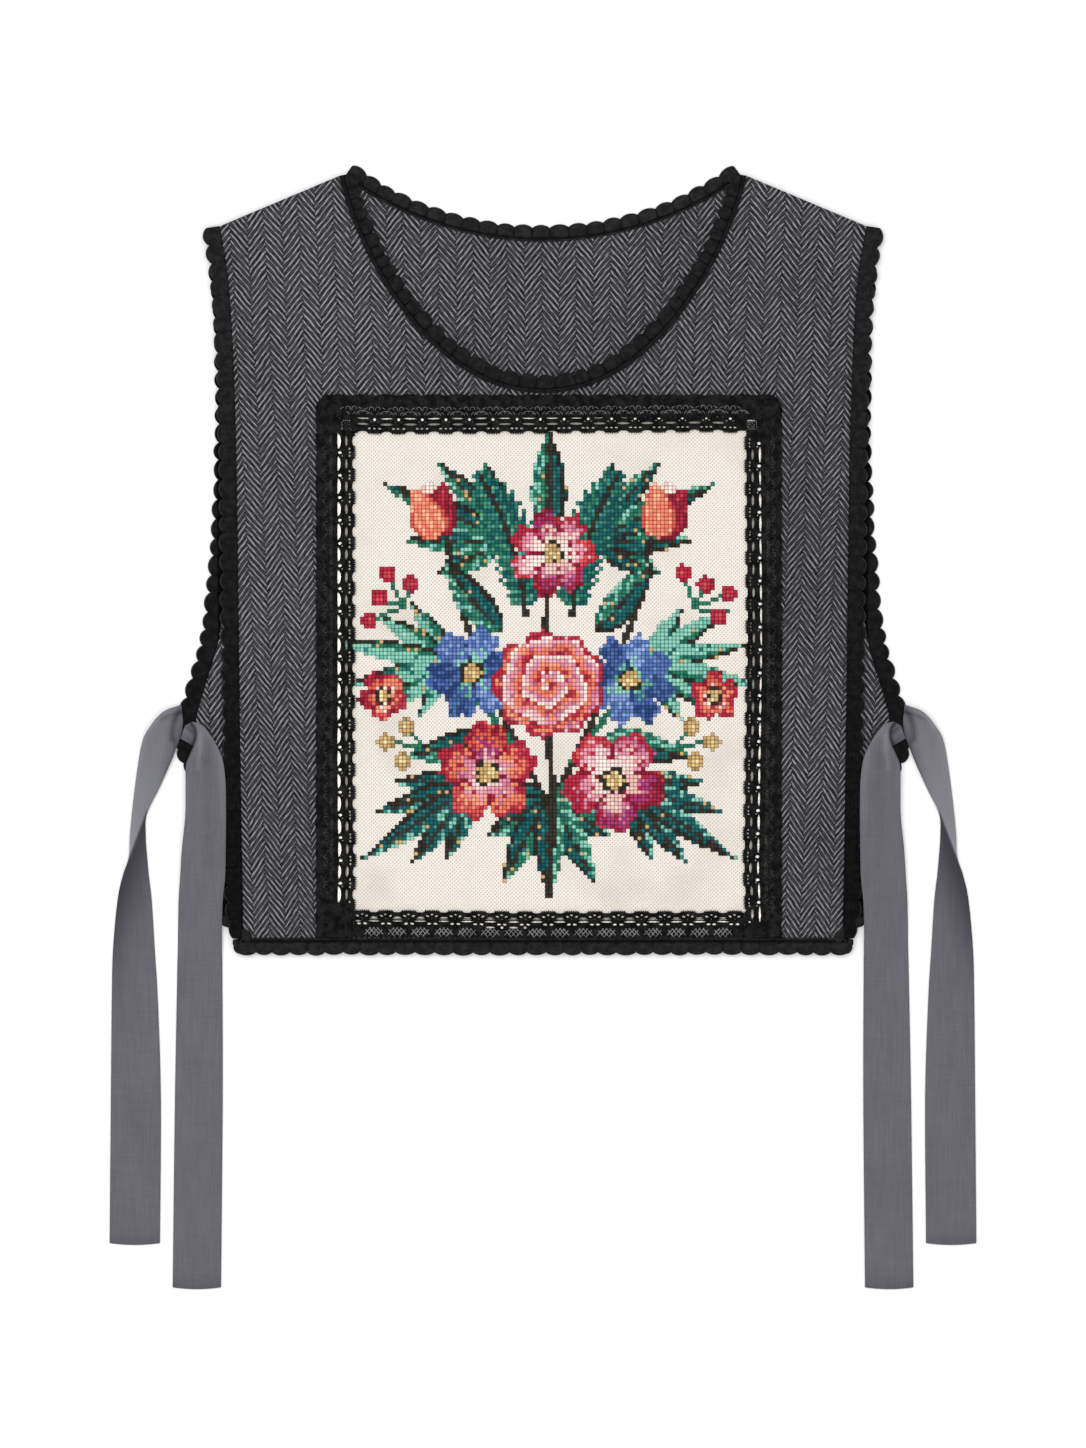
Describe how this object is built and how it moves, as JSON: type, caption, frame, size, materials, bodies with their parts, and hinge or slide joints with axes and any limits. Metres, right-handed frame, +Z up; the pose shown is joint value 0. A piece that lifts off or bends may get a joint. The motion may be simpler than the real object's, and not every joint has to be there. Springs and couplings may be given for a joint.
{
  "type": "side-tied tabard waistcoat",
  "caption": "Sleeveless waistcoat laid flat: wool panels with scalloped edging, a lace-framed stitched flower panel and ribbon side ties.",
  "frame": {"origin": "middle of the plan's bounding box, on the surface the waistcoat lies on", "axes": "+Z up, out of the front; +Y from the hem to the neck; +X to the right as seen from above"},
  "size_m": [0.572, 0.7419, 0.0071],
  "materials": {
    "wool": "grey herringbone wool, matt",
    "edging": "black scalloped braid, slight sheen",
    "lace": "black openwork lace, matt",
    "canvas": "cream needlework canvas stitched in wool yarns, matt",
    "ribbon": "grey plain-weave ribbon, soft sheen"
  },
  "bodies": {
    "root": {"front_panel": "wool", "back_panel": "wool", "canvas_panel": "canvas", "neck_edging_front": "edging", "neck_edging_back": "edging", "side_edging_front_left": "edging", "side_edging_front_right": "edging", "side_edging_back_left": "edging", "side_edging_back_right": "edging", "hem_edging_front": "edging", "hem_edging_back": "edging", "lace_top": "lace", "lace_bottom": "lace", "lace_left": "lace", "lace_right": "lace", "tie_left_back": "ribbon", "tie_left_front": "ribbon", "tie_right_back": "ribbon", "tie_right_front": "ribbon"}
  },
  "joints": []
}
